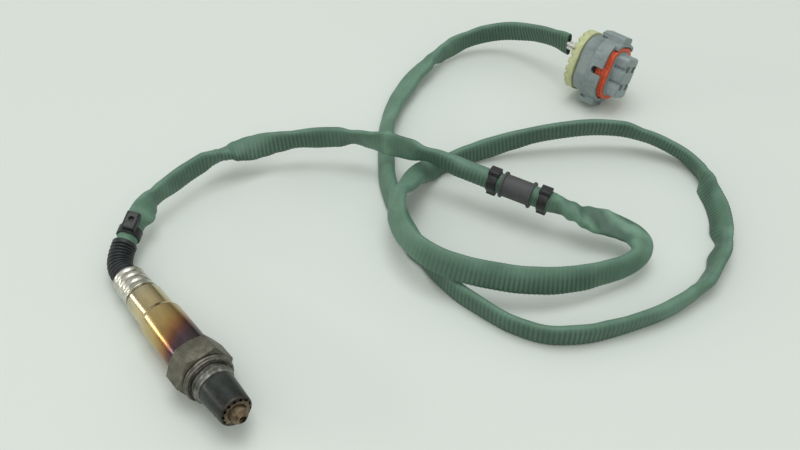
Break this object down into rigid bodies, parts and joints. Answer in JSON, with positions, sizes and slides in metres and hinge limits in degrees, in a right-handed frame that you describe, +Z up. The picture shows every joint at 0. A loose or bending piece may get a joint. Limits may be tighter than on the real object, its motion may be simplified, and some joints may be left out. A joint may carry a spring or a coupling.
{
  "type": "oxygen sensor",
  "caption": "Heated exhaust oxygen sensor with hexagon, vented protection tube, ribbed boot and a long sleeved lead that ends in a keyed plug.",
  "frame": {"origin": "on the ground, under the middle of the sensor's length without its lead", "axes": "+X along the sensor towards its tip, +Y to the side where the lead lies, +Z up"},
  "size_m": [0.223, 0.3018, 0.0399],
  "materials": {
    "housing_steel": "dull, browned by heat",
    "gasket_steel": "dull folded sheet",
    "outer_tube_steel": "dark, sooted",
    "inner_tube_steel": "brown, heat stained",
    "zirconia": "matt sintered",
    "heater_ceramic": "matt sintered",
    "washer_steel": "plain",
    "talc": "pressed powder",
    "steatite": "matt",
    "contact_metal": "plain spring strip",
    "shell_steel": "drawn tube with heat tint",
    "bright_steel": "bright, crimped",
    "black_rubber": "matt",
    "lead_insulation": "smooth",
    "boot_rubber": "satin",
    "clamp_plastic": "satin",
    "green_sleeving": "ribbed coated braid",
    "grey_rubber": "matt",
    "white_insulation": "smooth",
    "retainer_plastic": "satin",
    "orange_silicone": "matt",
    "plug_plastic": "satin",
    "carrier_plastic": "satin",
    "terminal_metal": "tinned"
  },
  "bodies": {
    "root": {"sensor_housing": "housing_steel", "gasket_ring": "gasket_steel", "outer_protection_tube": "outer_tube_steel", "inner_protection_tube": "inner_tube_steel", "sensing_element": "zirconia", "heater_rod": "heater_ceramic", "element_washer": "washer_steel", "talc_packing": "talc", "ceramic_sleeve": "steatite", "crimp_ring": "washer_steel", "contact_holder": "steatite", "contact_springs": "contact_metal", "protective_shell": "shell_steel", "crimp_sleeve": "bright_steel", "wire_grommet": "black_rubber", "lead_wires": "lead_insulation", "bellows_boot": "boot_rubber", "sleeve_clamp": "clamp_plastic", "harness_sleeve": "green_sleeving", "clip_bush": "grey_rubber", "bush_clamp_near": "clamp_plastic", "bush_clamp_far": "clamp_plastic", "wire_tails": "white_insulation", "rear_retainer": "retainer_plastic", "wire_seal": "orange_silicone", "connector_housing": "plug_plastic", "interface_seal": "orange_silicone", "terminal_carrier": "carrier_plastic", "terminals": "terminal_metal"}
  },
  "joints": []
}
